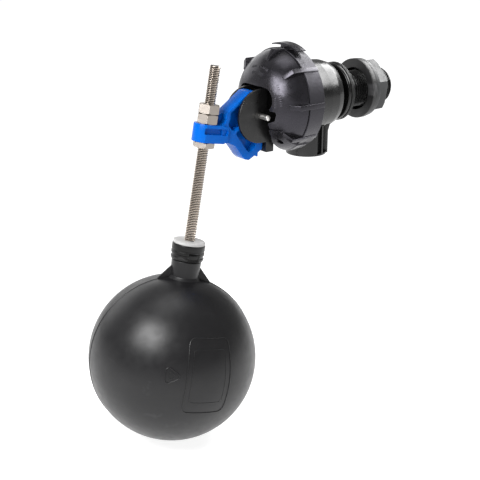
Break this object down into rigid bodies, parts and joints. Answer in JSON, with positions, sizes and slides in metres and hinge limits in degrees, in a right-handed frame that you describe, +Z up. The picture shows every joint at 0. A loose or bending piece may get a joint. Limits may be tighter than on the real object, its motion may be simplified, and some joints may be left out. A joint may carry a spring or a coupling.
{
  "type": "float valve",
  "caption": "Tank float valve: a ball float on a threaded rod swings a lever that works a pilot plunger in a capped, flanged valve body.",
  "frame": {"origin": "on the inlet axis, in the plane where the flange seal bears on the tank wall", "axes": "+X along the inlet axis, out of the threaded tail and away from the float; +Z up; -X towards the lever and float"},
  "size_m": [0.3135, 0.15, 0.3444],
  "materials": {
    "nylon_black": "glass-filled nylon, satin, slightly textured",
    "nylon_head": "moulded nylon, satin",
    "rubber_black": "nitrile rubber, matt",
    "nut_grey": "dark grey nylon, satin",
    "washer_grey": "dark moulded washer, matt",
    "lever_blue": "bright blue acetal, glossy",
    "stainless": "stainless steel, rolled thread",
    "stainless_nut": "stainless steel, machined",
    "brass": "turned brass",
    "float_grey": "blow moulded polyethylene, satin",
    "collar_black": "moulded nylon, satin",
    "disc_white": "white nylon, satin",
    "plate_nylon": "nylon, satin",
    "acetal_ivory": "acetal, satin",
    "screw_dark": "blackened steel"
  },
  "bodies": {
    "valve": {"valve_body": "nylon_black", "seat_ring": "brass", "flange_seal": "rubber_black", "cap": "nylon_black", "lock_screw": "screw_dark", "clevis_head": "nylon_head", "pilot_seat": "brass", "pivot_pin": "stainless_nut", "diaphragm": "rubber_black", "return_spring": "stainless_nut"},
    "main_disc": {"main_plate": "plate_nylon", "under_plate": "plate_nylon", "plate_screw": "stainless_nut", "bleed_jet": "brass"},
    "pilot": {"plunger": "acetal_ivory", "plunger_pad": "rubber_black"},
    "lever": {"lever_arm": "lever_blue", "float_rod": "stainless", "rod_nuts": "stainless_nut", "rod_jam_nut": "stainless_nut", "float_ball": "float_grey", "float_collar": "collar_black", "neck_disc": "disc_white"},
    "washer": {"wall_washer": "washer_grey"},
    "nut": {"back_nut": "nut_grey"}
  },
  "joints": [
    {"name": "lever_swing", "type": "hinge", "parent": "valve", "child": "lever", "pos_m": [-0.0941, 0, -0.0101], "axis": [0, 1, 0], "range_deg": [0, 45]},
    {"name": "pilot_slide", "type": "slide", "parent": "valve", "child": "pilot", "axis": [1, 0, 0], "range_m": [0, 0.00393]},
    {"name": "main_lift", "type": "slide", "parent": "valve", "child": "main_disc", "axis": [1, 0, 0], "range_m": [0, 0.0045], "deforming": ["diaphragm", "return_spring"]},
    {"name": "washer_slide", "type": "slide", "parent": "valve", "child": "washer", "axis": [1, 0, 0], "range_m": [-0.022, 0.011]},
    {"name": "nut_turn", "type": "hinge", "parent": "washer", "child": "nut", "pos_m": [0.035, 0, 0], "axis": [1, 0, 0], "range_deg": [-3414, 1699]}
  ],
  "couplings": [
    {"joint": "pilot_slide", "follows": "lever_swing", "m_per_rad": 0.005},
    {"joint": "washer_slide", "follows": "nut_turn", "m_per_rad": 0.0003675}
  ]
}
